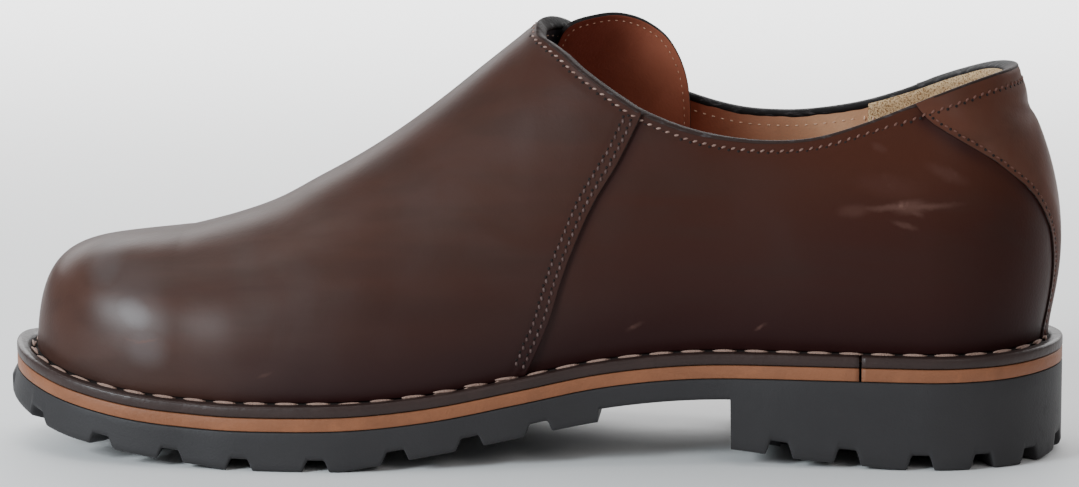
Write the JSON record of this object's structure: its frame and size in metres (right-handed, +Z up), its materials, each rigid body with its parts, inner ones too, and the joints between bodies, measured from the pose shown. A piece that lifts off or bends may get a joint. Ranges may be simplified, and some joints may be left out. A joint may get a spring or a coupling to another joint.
{
  "type": "low slip-on shoe",
  "caption": "Low slip-on leather shoe for the right foot: plain vamp lapped over the quarters, heel patch, tongue tab, stitched welt, tan midsole and lugged rubber sole with a low heel.",
  "frame": {"origin": "centre of the shoe's footprint on the floor", "axes": "-X to the toe, +X to the heel, -Y to the inner (big toe) side, +Y to the outer side, +Z up from the floor"},
  "size_m": [0.3014, 0.1083, 0.1215],
  "materials": {
    "black_rubber": "matt black moulded rubber",
    "tan_midsole": "tan edge, lightly trimmed",
    "dark_welt": "dark brown strip, semi-matt",
    "lining_leather": "undyed tan lining, matt",
    "brown_leather": "oiled dark brown, soft sheen",
    "back_leather": "oiled red-brown, soft sheen",
    "tongue_leather": "tan leather, matt"
  },
  "bodies": {
    "root": {"outsole": "black_rubber", "midsole": "tan_midsole", "welt": "dark_welt", "insole": "lining_leather", "vamp": "brown_leather", "quarters": "brown_leather", "back_piece": "back_leather", "tongue": "tongue_leather"}
  },
  "joints": []
}
